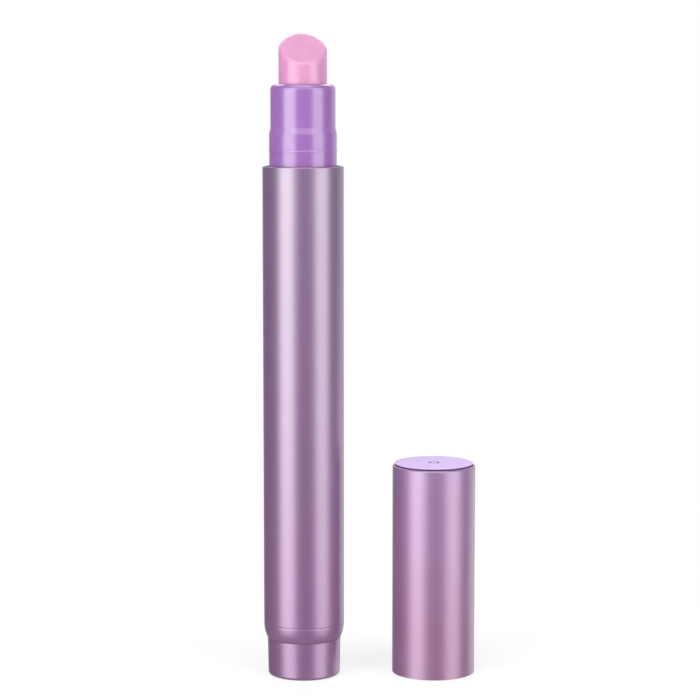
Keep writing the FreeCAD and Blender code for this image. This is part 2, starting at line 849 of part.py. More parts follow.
PIECES = [
    make_barrel_sleeve(),
    make_reservoir(),
    make_tail_bush(),
    make_ratchet_ring(),
    make_drive_nut(),
    make_neck(),
    rubber_ring("neck_seal", "neck_seal_place"),
    make_applicator_tip(),
    make_feed_tube(),
    make_knob_shell(),
    make_knob_core(),
    make_driver_tube(),
    make_pawl_ring(),
    make_lead_screw(),
    make_rod_key(),
    make_piston(),
    make_piston_seals(),
    make_cap_sleeve(),
    make_cap_liner(),
    make_cap_seal(),
]


def check_document():
    doc.recompute()
    for item in doc.Objects:
        if "Invalid" in item.State or "Error" in item.State:
            raise RuntimeError(f"{item.Label} failed: {item.State}")
    for piece in PIECES:
        if piece.Shape.isNull() or not piece.Shape.isValid() or not piece.Shape.Solids:
            raise RuntimeError(f"{piece.Label} has no valid solid")


def write_pieces():
    os.makedirs("parts", exist_ok=True)
    for piece in PIECES:
        piece.Shape.exportStep(f"parts/{piece.Label}.step")


check_document()
write_pieces()
print(f"{len(PIECES)} pieces, stroke {value('stroke'):.3f}, height {value('tip_top'):.2f}")
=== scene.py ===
import math

import bmesh
import bpy
from bpy.props import FloatProperty, FloatVectorProperty, IntProperty, PointerProperty
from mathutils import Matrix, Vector, noise


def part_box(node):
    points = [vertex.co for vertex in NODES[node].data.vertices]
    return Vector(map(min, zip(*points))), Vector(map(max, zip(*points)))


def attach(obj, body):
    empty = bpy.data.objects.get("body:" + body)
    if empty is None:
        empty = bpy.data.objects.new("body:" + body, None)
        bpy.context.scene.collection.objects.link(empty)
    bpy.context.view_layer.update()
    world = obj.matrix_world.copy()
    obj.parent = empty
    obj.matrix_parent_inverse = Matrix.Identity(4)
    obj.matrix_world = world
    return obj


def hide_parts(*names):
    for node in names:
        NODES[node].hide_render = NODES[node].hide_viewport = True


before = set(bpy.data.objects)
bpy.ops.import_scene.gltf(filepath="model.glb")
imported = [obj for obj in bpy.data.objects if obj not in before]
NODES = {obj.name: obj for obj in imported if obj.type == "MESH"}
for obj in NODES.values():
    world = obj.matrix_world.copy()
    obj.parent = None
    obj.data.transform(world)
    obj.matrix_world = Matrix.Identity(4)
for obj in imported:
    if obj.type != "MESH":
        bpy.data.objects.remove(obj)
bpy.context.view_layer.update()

bl_info = {
    "name": "Nail Oil Pen",
    "version": (1, 0, 0),
    "blender": (4, 5, 0),
    "location": "3D View > Sidebar > Oil Pen",
    "description": "Finishes, soft applicator nib and studio for a twist-up nail oil pen",
    "category": "Object",
}

MM = 0.001
TIP_LOW, TIP_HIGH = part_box("applicator_tip")
TUBE_LOW, TUBE_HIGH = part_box("feed_tube")
NECK_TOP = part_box("neck")[1].z
BARREL_LOW, BARREL_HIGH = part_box("barrel_sleeve")
SENSOR_WIDTH = 36.0
# A noise texture's levels lie nearly all between these two.
NOISE_LOW, NOISE_HIGH = 0.3, 0.7


def linear(code):
    """An sRGB hex colour as linear red, green and blue."""
    values = []
    for place in (1, 3, 5):
        level = int(code[place : place + 2], 16) / 255
        values.append(level / 12.92 if level <= 0.04045 else ((level + 0.055) / 1.055) ** 2.4)
    return tuple(values)


def add_node(tree, kind, inputs=None, **settings):
    """A node with its settings; inputs gives each socket a value, or the socket that feeds it."""
    node = tree.nodes.new(kind)
    for name, setting in settings.items():
        setattr(node, name, setting)
    for socket, source in (inputs or {}).items():
        if isinstance(source, bpy.types.NodeSocket):
            tree.links.new(source, node.inputs[socket])
        else:
            node.inputs[socket].default_value = source
    return node


def opaque(colour):
    """A colour with full alpha, as node sockets take it."""
    return (*colour, 1.0)


def per_metre(size_mm):
    """The texture scale whose features are this many millimetres across."""
    return 1.0 / (size_mm * MM)


def new_material(name):
    """An empty node material with its output node."""
    material = bpy.data.materials.new(name)
    material.use_nodes = True
    material.node_tree.nodes.clear()
    return material, material.node_tree, add_node(material.node_tree, "ShaderNodeOutputMaterial")


def dress(names, material):
    """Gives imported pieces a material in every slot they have."""
    for name in names:
        for slot in NODES[name].material_slots:
            slot.material = material


def turn_round(mesh, outlines, closed):
    """Sets outlines evenly about the pen's axis, joins each to the next and returns their points."""
    columns = []
    for side, outline in enumerate(outlines):
        angle = 2 * math.pi * side / len(outlines)
        columns.append([
            mesh.verts.new((out * math.cos(angle), out * math.sin(angle), up)) for out, up in outline
        ])
    for side, column in enumerate(columns):
        following = columns[(side + 1) % len(columns)]
        for row in range(len(column) if closed else len(column) - 1):
            above = (row + 1) % len(column)
            mesh.faces.new((column[row], following[row], following[above], column[above]))
    return columns


def place_piece(name, mesh, material):
    """Makes a smooth object of a finished mesh and puts it in the scene with its material."""
    data = bpy.data.meshes.new(name)
    mesh.to_mesh(data)
    mesh.free()
    data.shade_smooth()
    data.materials.append(material)
    piece = bpy.data.objects.new(name, data)
    bpy.context.scene.collection.objects.link(piece)
    return piece


class PenFinishes(bpy.types.PropertyGroup):
    """Colours and gloss of the pen's pieces."""

    dye_head: FloatVectorProperty(
        name="Dye at the head",
        description="Colour of the anodised aluminium at the neck's end",
        subtype="COLOR", size=3, min=0, max=1, default=linear("#64426D"),
    )
    dye_foot: FloatVectorProperty(
        name="Dye at the foot",
        description="Colour of the anodised aluminium at the knob's end",
        subtype="COLOR", size=3, min=0, max=1, default=linear("#77497A"),
    )
    dye_cap: FloatVectorProperty(
        name="Dye of the cap",
        description="Colour of the cap's anodised sleeve towards its top, a little paler than the barrel",
        subtype="COLOR", size=3, min=0, max=1, default=linear("#7C629C"),
    )
    dye_cap_foot: FloatVectorProperty(
        name="Dye of the cap's foot",
        description="Colour of the cap's anodised sleeve at its mouth",
        subtype="COLOR", size=3, min=0, max=1, default=linear("#84527C"),
    )
    satin: FloatProperty(
        name="Satin",
        description="Roughness of the blasted aluminium",
        subtype="FACTOR", min=0, max=1, default=0.42,
    )
    film: FloatProperty(
        name="Film",
        description="Roughness of the clear film on the barrel and the knob",
        subtype="FACTOR", min=0, max=1, default=0.36,
    )
    film_cap: FloatProperty(
        name="Film of the cap",
        description="Roughness of the clear film on the cap's sleeve",
        subtype="FACTOR", min=0, max=1, default=0.43,
    )
    neck_colour: FloatVectorProperty(
        name="Neck",
        description="Colour of the moulded neck",
        subtype="COLOR", size=3, min=0, max=1, default=linear("#875A9C"),
    )
    disc_colour: FloatVectorProperty(
        name="Cap liner",
        description="Colour of the cap's moulded liner and its top disc",
        subtype="COLOR", size=3, min=0, max=1, default=linear("#BFA2D8"),
    )
    # Painted shade: the dark violet that the cap liner's groove and gate ring are darkened to where
    # ambient occlusion finds them enclosed.
    painted_shade_colour: FloatVectorProperty(
        name="Cap liner's grooves",
        description="Colour of the liner where oil and dust settle",
        subtype="COLOR", size=3, min=0, max=1, default=linear("#4A2A58"),
    )
    nib_colour: FloatVectorProperty(
        name="Nib",
        description="Colour of the soft applicator",
        subtype="COLOR", size=3, min=0, max=1, default=linear("#C084AA"),
    )
    natural_colour: FloatVectorProperty(
        name="Inner plastic",
        description="Colour of the natural polypropylene pieces",
        subtype="COLOR", size=3, min=0, max=1, default=linear("#E4E2DA"),
    )
    acetal_colour: FloatVectorProperty(
        name="Click rings",
        description="Colour of the acetal ratchet and pawl rings",
        subtype="COLOR", size=3, min=0, max=1, default=linear("#EFEDE2"),
    )
    rubber_colour: FloatVectorProperty(
        name="Seals",
        description="Colour of the rubber seals",
        subtype="COLOR", size=3, min=0, max=1, default=linear("#232326"),
    )


class NibShape(bpy.types.PropertyGroup):
    """Form of the soft applicator nib."""

    slant: FloatProperty(
        name="Slant",
        description="Angle of the nib's face, low towards the front",
        subtype="ANGLE", min=0, max=math.radians(60), default=math.radians(35),
    )
    turn: FloatProperty(
        name="Turn",
        description="Turn of the nib about the pen's axis",
        subtype="ANGLE", default=math.radians(5),
    )
    edge_round: FloatProperty(
        name="Edge round",
        description="Radius of the soft edge round the face",
        subtype="DISTANCE", unit="LENGTH", min=0.0001, max=0.002, default=0.7 * MM,
    )
    crown: FloatProperty(
        name="Crown",
        description="How far the face swells at its middle",
        subtype="DISTANCE", unit="LENGTH", min=0, max=0.001, default=0.05 * MM,
    )
    unevenness: FloatProperty(
        name="Unevenness",
        description="How far the soft surface strays from the true form",
        subtype="DISTANCE", unit="LENGTH", min=0, max=0.0002, default=0.012 * MM,
    )
    sides: IntProperty(
        name="Sides",
        description="Number of points round the nib",
        min=24, max=256, default=96,
    )


class NeckBead(bpy.types.PropertyGroup):
    """The fine bead round the neck, which the cap's bore passes."""

    inset: FloatProperty(
        name="Inset",
        description="How far the neck's lower step stands in from the barrel's wall",
        subtype="DISTANCE", unit="LENGTH", min=0, default=1.05 * MM,
    )
    lift: FloatProperty(
        name="Lift",
        description="Height of the bead's middle above the barrel's rim",
        subtype="DISTANCE", unit="LENGTH", min=0, default=2.4 * MM,
    )
    width: FloatProperty(
        name="Width",
        description="Width of the bead along the neck",
        subtype="DISTANCE", unit="LENGTH", min=0.00005, default=0.26 * MM,
    )
    rise: FloatProperty(
        name="Rise",
        description="How far the bead stands out from the neck",
        subtype="DISTANCE", unit="LENGTH", min=0.00001, default=0.06 * MM,
    )
    sides: IntProperty(
        name="Sides",
        description="Number of points round the bead",
        min=24, max=256, default=128,
    )


class StudioSetup(bpy.types.PropertyGroup):
    """Camera, lamps and backdrop."""

    camera_distance: FloatProperty(
        name="Camera distance",
        description="Level distance from the pen's axis to the camera, towards the front",
        subtype="DISTANCE", unit="LENGTH", default=0.36,
    )
    camera_height: FloatProperty(
        name="Camera height",
        description="Height of the camera above the floor",
        subtype="DISTANCE", unit="LENGTH", default=0.0935,
    )
    camera_side: FloatProperty(
        name="Camera side",
        description="How far the camera stands to the cap's side of the pen",
        subtype="DISTANCE", unit="LENGTH", default=0.0072,
    )
    camera_tilt: FloatProperty(
        name="Camera tilt",
        description="How far the camera looks down",
        subtype="ANGLE", default=math.radians(6.73),
    )
    camera_lens: FloatProperty(
        name="Lens",
        description="Focal length on a sensor 36 mm wide",
        subtype="DISTANCE_CAMERA", default=120.5,
    )
    key_level: FloatProperty(
        name="Key level",
        description="Brightness of the softbox on the left, where 1 is white",
        min=0, default=4.6,
    )
    fill_level: FloatProperty(
        name="Fill level",
        description="Brightness of the softbox on the right, where 1 is white",
        min=0, default=3.5,
    )
    top_level: FloatProperty(
        name="Top level",
        description="Brightness of the softbox above the camera, where 1 is white",
        min=0, default=1.6,
    )
    overhead_level: FloatProperty(
        name="Overhead level",
        description="Brightness of the softbox over the object, where 1 is white",
        min=0, default=3.6,
    )
    back_level: FloatProperty(
        name="Back level",
        description="Brightness of the softbox high behind the object, where 1 is white",
        min=0, default=3.5,
    )
    rim_level: FloatProperty(
        name="Rim level",
        description="Brightness of the card behind the object on the right, where 1 is white",
        min=0, default=0.55,
    )
    room_level: FloatProperty(
        name="Room level",
        description="Brightness of the room's even light, where 1 is white",
        min=0, default=0.18,
    )


class OILPEN_OT_finish_aluminium(bpy.types.Operator):
    """Gives the barrel, the knob and the cap's sleeve their satin anodised aluminium"""

    bl_idname = "oilpen.finish_aluminium"
    bl_label = "Anodised Aluminium"

    def execute(self, context):
        looks = context.scene.oilpen_finishes
        name = "anodised_aluminium_violet_satin"
        tube = self.aluminium(name, looks.satin, looks.film, looks.dye_foot, looks.dye_head)
        dress(("barrel_sleeve", "knob_shell"), tube)
        name = "anodised_aluminium_violet_satin_cap"
        cap = self.aluminium(name, looks.satin, looks.film_cap, looks.dye_cap_foot, looks.dye_cap)
        dress(("cap_sleeve",), cap)
        return {"FINISHED"}

    def aluminium(self, name, satin, film_roughness, dye_foot, dye_head):
        """Satin aluminium, dyed from one colour at the foot to another at the head, under a clear film."""
        # Anodised aluminium: drawn tube, blasted with fine beads, dyed violet and sealed under a clear
        # satin film. The thick dyed oxide hides most of the metal's own glint, so the tube is an even
        # violet, and the hard film lays broad, nearly white upright bands over it.
        material, tree, output = new_material(name)
        place = add_node(tree, "ShaderNodeTexCoord")
        axes = add_node(tree, "ShaderNodeSeparateXYZ", {"Vector": place.outputs["Object"]})
        # The dye changes over the barrel's height, so the shorter cap shows only the lower part of it.
        height = add_node(tree, "ShaderNodeMapRange", {
            "Value": axes.outputs["Z"],
            "From Min": BARREL_LOW.z,
            "From Max": BARREL_HIGH.z,
        })
        # The dye takes a little unevenly, in clouds about 6 mm across.
        cloud = add_node(tree, "ShaderNodeTexNoise", {
            "Vector": place.outputs["Object"],
            "Scale": per_metre(6.0),
            "Detail": 2.0,
        })
        take = add_node(tree, "ShaderNodeMapRange", {
            "Value": cloud.outputs["Fac"],
            "From Min": NOISE_LOW,
            "From Max": NOISE_HIGH,
            "To Min": -0.08,
            "To Max": 0.08,
        })
        share = add_node(tree, "ShaderNodeMath", {
            0: height.outputs["Result"],
            1: take.outputs["Result"],
        }, operation="ADD", use_clamp=True)
        dye = add_node(tree, "ShaderNodeMix", {
            "Factor": share.outputs["Value"],
            6: opaque(dye_foot),
            7: opaque(dye_head),
        }, data_type="RGBA")
        # Blasting beads of 0.05 mm leave dents finer than a pixel, so they are drawn 0.16 mm wide.
        grit = add_node(tree, "ShaderNodeTexNoise", {
            "Vector": place.outputs["Object"],
            "Scale": per_metre(0.16),
            "Detail": 3.0,
        })
        gloss = add_node(tree, "ShaderNodeMapRange", {
            "Value": grit.outputs["Fac"],
            "From Min": NOISE_LOW,
            "From Max": NOISE_HIGH,
            "To Min": satin - 0.03,
            "To Max": satin + 0.03,
        })
        dents = add_node(tree, "ShaderNodeBump", {
            "Strength": 0.05,
            "Distance": 0.002 * MM,
            "Height": grit.outputs["Fac"],
        })
        # Hands wear the film thinner towards the knob, where more of the metal's own violet glint shows.
        film = add_node(tree, "ShaderNodeMapRange", {
            "Value": share.outputs["Value"],
            "To Min": 0.7,
            "To Max": 1.0,
        })
        metal = add_node(tree, "ShaderNodeMapRange", {
            "Value": share.outputs["Value"],
            "To Min": 0.4,
            "To Max": 0.2,
        })
        # Alumina's index is 1.77; the metal close behind the film adds to its glint, so it is higher here.
        shader = add_node(tree, "ShaderNodeBsdfPrincipled", {
            "Base Color": dye.outputs[2],
            "Metallic": metal.outputs["Result"],
            "Roughness": gloss.outputs["Result"],
            "Normal": dents.outputs["Normal"],
            "Coat Weight": film.outputs["Result"],
            "Coat Roughness": film_roughness,
            "Coat IOR": 2.2,
        })
        tree.links.new(shader.outputs["BSDF"], output.inputs["Surface"])
        return material


class OILPEN_OT_finish_neck(bpy.types.Operator):
    """Gives the neck its violet moulded plastic and its fine bead"""

    bl_idname = "oilpen.finish_neck"
    bl_label = "Violet Neck"

    def execute(self, context):
        material = self.neck_plastic(context.scene.oilpen_finishes)
        dress(("neck",), material)
        self.add_bead(context.scene.oilpen_bead, material)
        return {"FINISHED"}

    def add_bead(self, bead, material):
        """A closed ring, sunk a little into the neck's wall, with a long ramp that eases the cap on."""
        wall = BARREL_HIGH.x - bead.inset
        foot = BARREL_HIGH.z + bead.lift - bead.width / 2
        sunk = 0.03 * MM
        outline = [(wall - sunk, foot), (wall + bead.rise, foot)]
        # Points near the ramp's ends keep its shading even between them.
        for share in (0.08, 0.92, 1.0):
            outline.append((wall + bead.rise * (1 - share), foot + bead.width * share))
        outline.append((wall - sunk, foot + bead.width))
        mesh = bmesh.new()
        turn_round(mesh, [outline] * bead.sides, closed=True)
        bmesh.ops.recalc_face_normals(mesh, faces=mesh.faces)
        ring = place_piece("neck_bead", mesh, material)
        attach(ring, "pen")

    def neck_plastic(self, looks):
        """The neck's violet."""
        # ABS: injection moulded in a polished mould, coloured through. It has a soft gloss with pale
        # upright highlights, and the violet stays deep between them.
        material, tree, output = new_material("abs_violet_moulded")
        place = add_node(tree, "ShaderNodeTexCoord")
        # The pigment has spread a little unevenly, in clouds about 2.5 mm across.
        flow = add_node(tree, "ShaderNodeTexNoise", {
            "Vector": place.outputs["Object"],
            "Scale": per_metre(2.5),
            "Detail": 2.0,
        })
        colour = add_node(tree, "ShaderNodeHueSaturation", {
            "Color": opaque(looks.neck_colour),
            "Value": add_node(tree, "ShaderNodeMapRange", {
                "Value": flow.outputs["Fac"],
                "From Min": NOISE_LOW,
                "From Max": NOISE_HIGH,
                "To Min": 0.97,
                "To Max": 1.03,
            }).outputs["Result"],
        })
        # The mould's polish leaves ripples of 0.1 mm, drawn 0.2 mm wide so that they show.
        polish = add_node(tree, "ShaderNodeTexNoise", {
            "Vector": place.outputs["Object"],
            "Scale": per_metre(0.2),
            "Detail": 2.0,
        })
        gloss = add_node(tree, "ShaderNodeMapRange", {
            "Value": polish.outputs["Fac"],
            "From Min": NOISE_LOW,
            "From Max": NOISE_HIGH,
            "To Min": 0.27,
            "To Max": 0.33,
        })
        ripple = add_node(tree, "ShaderNodeBump", {
            "Strength": 0.08,
            "Distance": 0.003 * MM,
            "Height": polish.outputs["Fac"],
        })
        shader = add_node(tree, "ShaderNodeBsdfPrincipled", {
            "Base Color": colour.outputs["Color"],
            "Roughness": gloss.outputs["Result"],
            "IOR": 1.54,
            "Normal": ripple.outputs["Normal"],
            "Coat Weight": 0.9,
            "Coat Roughness": 0.26,
        })
        tree.links.new(shader.outputs["BSDF"], output.inputs["Surface"])
        return material


class OILPEN_OT_finish_cap_liner(bpy.types.Operator):
    """Gives the cap's liner and its top disc their lavender plastic"""

    bl_idname = "oilpen.finish_cap_liner"
    bl_label = "Lavender Cap Liner"

    def execute(self, context):
        looks = context.scene.oilpen_finishes
        # Polypropylene: injection moulded, pale lavender. Its face is even, with a fine satin from the
        # mould.
        material, tree, output = new_material("polypropylene_lavender_moulded")
        place = add_node(tree, "ShaderNodeTexCoord")
        # Weak flow marks, about 1.5 mm across.
        flow = add_node(tree, "ShaderNodeTexNoise", {
            "Vector": place.outputs["Object"],
            "Scale": per_metre(1.5),
            "Detail": 3.0,
        })
        colour = add_node(tree, "ShaderNodeHueSaturation", {
            "Color": opaque(looks.disc_colour),
            "Value": add_node(tree, "ShaderNodeMapRange", {
                "Value": flow.outputs["Fac"],
                "From Min": NOISE_LOW,
                "From Max": NOISE_HIGH,
                "To Min": 0.975,
                "To Max": 1.02,
            }).outputs["Result"],
        })
        # Painted shade: ambient occlusion darkens the groove under the disc and the ring round the gate to
        # a dark violet, standing in for the shade that falls in them.
        open_share = add_node(tree, "ShaderNodeAmbientOcclusion", {"Distance": 0.5 * MM}, samples=16)
        unshaded_share = add_node(tree, "ShaderNodeMapRange", {
            "Value": open_share.outputs["AO"],
            "From Min": 0.4,
            "From Max": 0.85,
        })
        shown = add_node(tree, "ShaderNodeMix", {
            "Factor": unshaded_share.outputs["Result"],
            6: opaque(looks.painted_shade_colour),
            7: colour.outputs["Color"],
        }, data_type="RGBA")
        # The mould's etched satin is 0.06 mm fine, and is drawn 0.2 mm wide so that it shows.
        satin = add_node(tree, "ShaderNodeTexNoise", {
            "Vector": place.outputs["Object"],
            "Scale": per_metre(0.2),
            "Detail": 2.0,
        })
        gloss = add_node(tree, "ShaderNodeMapRange", {
            "Value": satin.outputs["Fac"],
            "From Min": NOISE_LOW,
            "From Max": NOISE_HIGH,
            "To Min": 0.36,
            "To Max": 0.46,
        })
        etch = add_node(tree, "ShaderNodeBump", {
            "Strength": 0.1,
            "Distance": 0.004 * MM,
            "Height": satin.outputs["Fac"],
        })
        shader = add_node(tree, "ShaderNodeBsdfPrincipled", {
            "Base Color": shown.outputs[2],
            "Roughness": gloss.outputs["Result"],
            "IOR": 1.49,
            "Normal": etch.outputs["Normal"],
        })
        tree.links.new(shader.outputs["BSDF"], output.inputs["Surface"])
        dress(("cap_liner",), material)
        return {"FINISHED"}


def nib_outline(shape, direction):
    """Distance from the axis and height of one side of the nib, from its base to the middle of its face.

    direction is the cosine of the angle between this side and the face's lowest side.
    """
    radius = (TIP_HIGH.x - TIP_LOW.x) / 2
    edge = shape.edge_round
    tangent = math.tan(shape.slant)
    lift = (radius - edge) * tangent - edge * (1 / math.cos(shape.slant) - 1)
    middle = TIP_HIGH.z - lift
    slope = math.atan(tangent * direction)
    base_bevel = 0.15 * MM
    centre_out = radius - edge
    centre_up = middle - centre_out * math.tan(slope) - edge / math.cos(slope)
    points = [(radius - base_bevel, TIP_LOW.z), (radius, TIP_LOW.z + base_bevel)]
    steps = 10
    for step in range(1, steps):
        share = step / steps
        points.append((radius, TIP_LOW.z + base_bevel + (centre_up - TIP_LOW.z - base_bevel) * share))
    sweep = math.pi / 2 - slope
    arc_steps = 8
    for step in range(arc_steps + 1):
        angle = sweep * step / arc_steps
        points.append((centre_out + edge * math.cos(angle), centre_up + edge * math.sin(angle)))
    face_out, face_up = points[-1]
    rings = 12
    for ring in range(1, rings):
        share = ring / rings
        swell = shape.crown * math.sin(share * math.pi / 2) ** 2
        points.append((face_out * (1 - share), face_up + (middle - face_up) * share + swell))
    return points, middle + shape.crown


class OILPEN_OT_make_nib(bpy.types.Operator):
    """Models the soft slanted nib in place of its plain solid"""

    bl_idname = "oilpen.make_nib"
    bl_label = "Applicator Nib"

    def execute(self, context):
        shape = context.scene.oilpen_nib
        feed_gap = 0.03 * MM
        hole = (TUBE_HIGH.x - TUBE_LOW.x) / 2 + feed_gap
        hole_top = TUBE_HIGH.z + feed_gap
        hole_bevel = 0.1 * MM
        inside = [(hole, hole_top), (hole, TIP_LOW.z + hole_bevel), (hole + hole_bevel, TIP_LOW.z)]
        outlines = []
        for side in range(shape.sides):
            angle = 2 * math.pi * side / shape.sides
            # The face is lowest towards -Y, turned a little about the axis.
            direction = math.cos(angle + math.pi / 2 - shape.turn)
            outside, top = nib_outline(shape, direction)
            outlines.append(inside + outside)
        mesh = bmesh.new()
        columns = turn_round(mesh, outlines, closed=False)
        crown = mesh.verts.new((0, 0, top))
        roof = mesh.verts.new((0, 0, hole_top))
        for side, column in enumerate(columns):
            following = columns[(side + 1) % shape.sides]
            mesh.faces.new((column[-1], following[-1], crown))
            mesh.faces.new((following[0], column[0], roof))
        bmesh.ops.recalc_face_normals(mesh, faces=mesh.faces)
        # A soft nib is never quite true: its open end strays a little, in waves about 1.2 mm long.
        mesh.normal_update()
        free_from = NECK_TOP + 0.3 * MM
        for point in mesh.verts:
            if point.co.z > free_from:
                point.co += point.normal * shape.unevenness * noise.noise(point.co * per_metre(1.2))
        nib = place_piece("soft_nib", mesh, self.nib_material(context.scene.oilpen_finishes))
        smoother = nib.modifiers.new("soft_surface", "SUBSURF")
        smoother.levels = 1
        smoother.render_levels = 1
        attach(nib, "pen")
        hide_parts("applicator_tip")
        return {"FINISHED"}

    def nib_material(self, looks):
        """The nib's soft pink."""
        # Porous polyethylene: sintered from fine beads, dyed pink and soaked with oil. Light goes a little
        # way in, its skin is covered with shallow pores, and the oil gives it a wet sheen.
        material, tree, output = new_material("porous_polyethylene_pink")
        place = add_node(tree, "ShaderNodeTexCoord")
        # Pores of 0.08 mm, drawn 0.22 mm wide so that they show.
        pores = add_node(tree, "ShaderNodeTexVoronoi", {
            "Vector": place.outputs["Object"],
            "Scale": per_metre(0.22),
        })
        # Oil soaks the nib unevenly, in patches about 1.6 mm across.
        soak = add_node(tree, "ShaderNodeTexNoise", {
            "Vector": place.outputs["Object"],
            "Scale": per_metre(1.6),
            "Detail": 3.0,
        })
        colour = add_node(tree, "ShaderNodeHueSaturation", {
            "Color": opaque(looks.nib_colour),
            "Value": add_node(tree, "ShaderNodeMapRange", {
                "Value": soak.outputs["Fac"],
                "From Min": NOISE_LOW,
                "From Max": NOISE_HIGH,
                "To Min": 0.97,
                "To Max": 1.03,
            }).outputs["Result"],
        })
        gloss = add_node(tree, "ShaderNodeMapRange", {
            "Value": soak.outputs["Fac"],
            "From Min": NOISE_LOW,
            "From Max": NOISE_HIGH,
            "To Min": 0.32,
            "To Max": 0.42,
        })
        skin = add_node(tree, "ShaderNodeBump", {
            "Strength": 0.15,
            "Distance": 0.01 * MM,
            "Height": pores.outputs["Distance"],
        })
        shader = add_node(tree, "ShaderNodeBsdfPrincipled", {
            "Base Color": colour.outputs["Color"],
            "Roughness": gloss.outputs["Result"],
            "IOR": 1.5,
            "Normal": skin.outputs["Normal"],
            "Subsurface Weight": 0.35,
            "Subsurface Radius": (1.0, 0.55, 0.8),
            "Subsurface Scale": 0.8 * MM,
            "Coat Weight": 0.4,
            "Coat Roughness": 0.26,
        })
        tree.links.new(shader.outputs["BSDF"], output.inputs["Surface"])
        return material


class OILPEN_OT_finish_inner_pieces(bpy.types.Operator):
    """Gives the reservoir and the twist drive their natural plastic"""

    bl_idname = "oilpen.finish_inner_pieces"
    bl_label = "Reservoir and Drive"

    def execute(self, context):
        looks = context.scene.oilpen_finishes
        # Natural polypropylene: injection moulded without pigment. It is milky and waxy, and a little
        # light passes into its thin walls.
        material, tree, output = new_material("polypropylene_natural_moulded")
        place = add_node(tree, "ShaderNodeTexCoord")
        # Milky clouds about 2 mm across.
        milk = add_node(tree, "ShaderNodeTexNoise", {
            "Vector": place.outputs["Object"],
            "Scale": per_metre(2.0),
            "Detail": 2.0,
        })
        colour = add_node(tree, "ShaderNodeHueSaturation", {
            "Color": opaque(looks.natural_colour),
            "Value": add_node(tree, "ShaderNodeMapRange", {
                "Value": milk.outputs["Fac"],
                "From Min": NOISE_LOW,
                "From Max": NOISE_HIGH,
                "To Min": 0.96,
                "To Max": 1.02,
            }).outputs["Result"],
        })
        gloss = add_node(tree, "ShaderNodeMapRange", {
            "Value": milk.outputs["Fac"],
            "From Min": NOISE_LOW,
            "From Max": NOISE_HIGH,
            "To Min": 0.34,
            "To Max": 0.44,
        })
        shader = add_node(tree, "ShaderNodeBsdfPrincipled", {
            "Base Color": colour.outputs["Color"],
            "Roughness": gloss.outputs["Result"],
            "IOR": 1.49,
            "Subsurface Weight": 0.3,
            "Subsurface Radius": (1.0, 1.0, 0.9),
            "Subsurface Scale": 0.8 * MM,
        })
        tree.links.new(shader.outputs["BSDF"], output.inputs["Surface"])
        dress((
            "reservoir", "tail_bush", "drive_nut", "feed_tube", "knob_core", "driver_tube", "lead_screw",
            "rod_key", "piston",
        ), material)
        return {"FINISHED"}


class OILPEN_OT_finish_click_rings(bpy.types.Operator):
    """Gives the ratchet ring and the pawl ring their acetal"""

    bl_idname = "oilpen.finish_click_rings"
    bl_label = "Click Rings"

    def execute(self, context):
        looks = context.scene.oilpen_finishes
        # Acetal: injection moulded, hard and slippery. It is an even, creamy white with a low gloss
        # that wear brightens in fine lines.
        material, tree, output = new_material("acetal_natural_moulded")
        place = add_node(tree, "ShaderNodeTexCoord")
        # Rubbing marks run round the pen's axis, about 0.6 mm apart.
        rub = add_node(tree, "ShaderNodeTexWave", {
            "Vector": place.outputs["Object"],
            "Scale": per_metre(0.3) / (2 * math.pi),
            "Distortion": 1.5,
        }, wave_type="RINGS", rings_direction="Z")
        gloss = add_node(tree, "ShaderNodeMapRange", {
            "Value": rub.outputs["Fac"],
            "To Min": 0.26,
            "To Max": 0.36,
        })
        tone = add_node(tree, "ShaderNodeTexNoise", {
            "Vector": place.outputs["Object"],
            "Scale": per_metre(1.5),
        })
        colour = add_node(tree, "ShaderNodeHueSaturation", {
            "Color": opaque(looks.acetal_colour),
            "Value": add_node(tree, "ShaderNodeMapRange", {
                "Value": tone.outputs["Fac"],
                "To Min": 0.96,
                "To Max": 1.02,
            }).outputs["Result"],
        })
        shader = add_node(tree, "ShaderNodeBsdfPrincipled", {
            "Base Color": colour.outputs["Color"],
            "Roughness": gloss.outputs["Result"],
            "IOR": 1.48,
        })
        tree.links.new(shader.outputs["BSDF"], output.inputs["Surface"])
        dress(("ratchet_ring", "pawl_ring"), material)
        return {"FINISHED"}


class OILPEN_OT_finish_seals(bpy.types.Operator):
    """Gives the O-rings and the cap's seal their rubber"""

    bl_idname = "oilpen.finish_seals"
    bl_label = "Rubber Seals"

    def execute(self, context):
        looks = context.scene.oilpen_finishes
        # Nitrile rubber: compression moulded, near black. It is dull, with a dusty bloom in patches.
        material, tree, output = new_material("nitrile_rubber_black")
        place = add_node(tree, "ShaderNodeTexCoord")
        # The bloom lies in patches about 0.8 mm across.
        bloom = add_node(tree, "ShaderNodeTexNoise", {
            "Vector": place.outputs["Object"],
            "Scale": per_metre(0.8),
            "Detail": 4.0,
        })
        colour = add_node(tree, "ShaderNodeHueSaturation", {
            "Color": opaque(looks.rubber_colour),
            "Value": add_node(tree, "ShaderNodeMapRange", {
                "Value": bloom.outputs["Fac"],
                "To Min": 0.8,
                "To Max": 1.3,
            }).outputs["Result"],
        })
        gloss = add_node(tree, "ShaderNodeMapRange", {
            "Value": bloom.outputs["Fac"],
            "To Min": 0.5,
            "To Max": 0.68,
        })
        shader = add_node(tree, "ShaderNodeBsdfPrincipled", {
            "Base Color": colour.outputs["Color"],
            "Roughness": gloss.outputs["Result"],
            "IOR": 1.52,
        })
        tree.links.new(shader.outputs["BSDF"], output.inputs["Surface"])
        dress(("neck_seal", "piston_seals", "cap_seal"), material)
        return {"FINISHED"}


